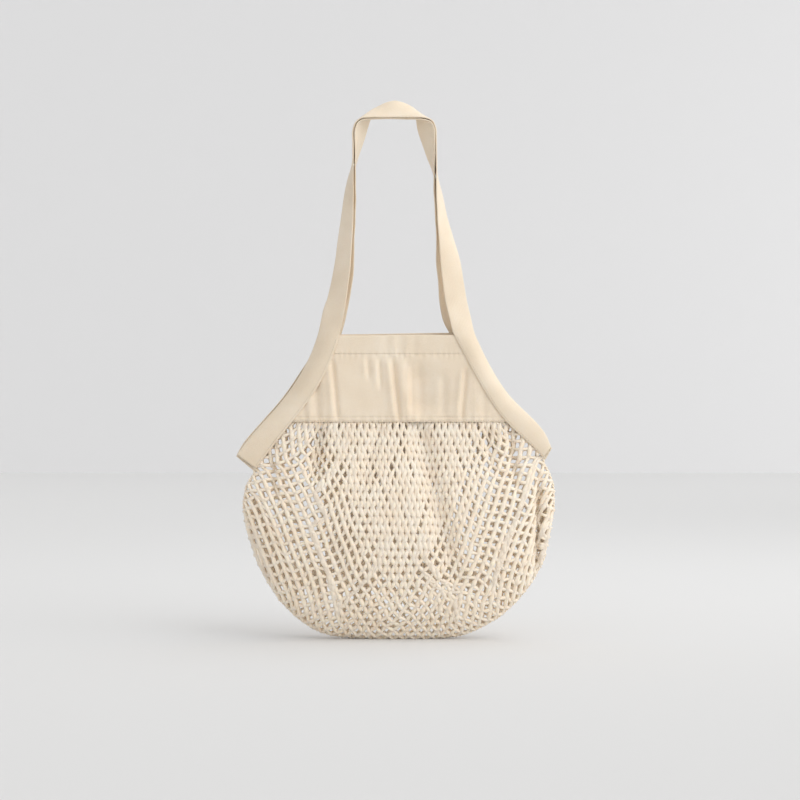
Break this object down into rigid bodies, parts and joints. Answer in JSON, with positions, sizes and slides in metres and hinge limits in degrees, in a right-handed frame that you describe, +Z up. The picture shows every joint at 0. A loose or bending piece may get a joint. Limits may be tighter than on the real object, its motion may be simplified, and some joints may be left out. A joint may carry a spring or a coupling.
{
  "type": "net shopping bag",
  "caption": "Soft net shopping bag with a gathered mesh pouch, plain canvas mouth panels and long tape handles that meet over the top.",
  "frame": {"origin": "the hang point: under the middle of the two nested handles, where a hook or a hand carries the bag", "axes": "+Z up, along the hanging bag; X across the bag from its left tip to its right; -Y is the front of the bag, and Y its depth"},
  "size_m": [0.3966, 0.084, 0.6747],
  "materials": {
    "net": "knotted cotton cord, matt",
    "canvas": "plain-weave unbleached cotton canvas, matt",
    "tape": "twill-weave cotton tape, matt",
    "thread": "cotton sewing thread"
  },
  "bodies": {
    "net_pouch": {"net_front": "net", "net_rear": "net", "net_edge_seam": "thread", "left_tip_seam": "thread", "right_tip_seam": "thread"},
    "front_mouth": {"front_panel": "canvas", "front_hem": "canvas", "front_left_band": "tape", "front_right_band": "tape", "front_hem_stitch": "thread", "front_net_stitch_upper": "thread", "front_net_stitch_lower": "thread", "front_left_band_stitch": "thread", "front_right_band_stitch": "thread"},
    "front_handle": {"front_handle": "tape"},
    "rear_mouth": {"rear_panel": "canvas", "rear_hem": "canvas", "rear_left_band": "tape", "rear_right_band": "tape", "rear_hem_stitch": "thread", "rear_net_stitch_upper": "thread", "rear_net_stitch_lower": "thread", "rear_left_band_stitch": "thread", "rear_right_band_stitch": "thread"},
    "rear_handle": {"rear_handle": "tape"}
  },
  "joints": [
    {"name": "front_mouth_opens", "type": "hinge", "parent": "net_pouch", "child": "front_mouth", "pos_m": [0, 0, -0.43711], "axis": [0.9994, 0, 0.0359], "range_deg": [0, 20]},
    {"name": "front_handle_folds", "type": "hinge", "parent": "front_mouth", "child": "front_handle", "pos_m": [0, -0.0152, -0.273], "axis": [1, 0, 0], "range_deg": [0, 160]},
    {"name": "rear_mouth_opens", "type": "hinge", "parent": "net_pouch", "child": "rear_mouth", "pos_m": [0, 0, -0.43711], "axis": [-0.9994, 0, -0.0359], "range_deg": [0, 20]},
    {"name": "rear_handle_folds", "type": "hinge", "parent": "rear_mouth", "child": "rear_handle", "pos_m": [0, 0.0152, -0.273], "axis": [-1, 0, 0], "range_deg": [0, 160]}
  ]
}
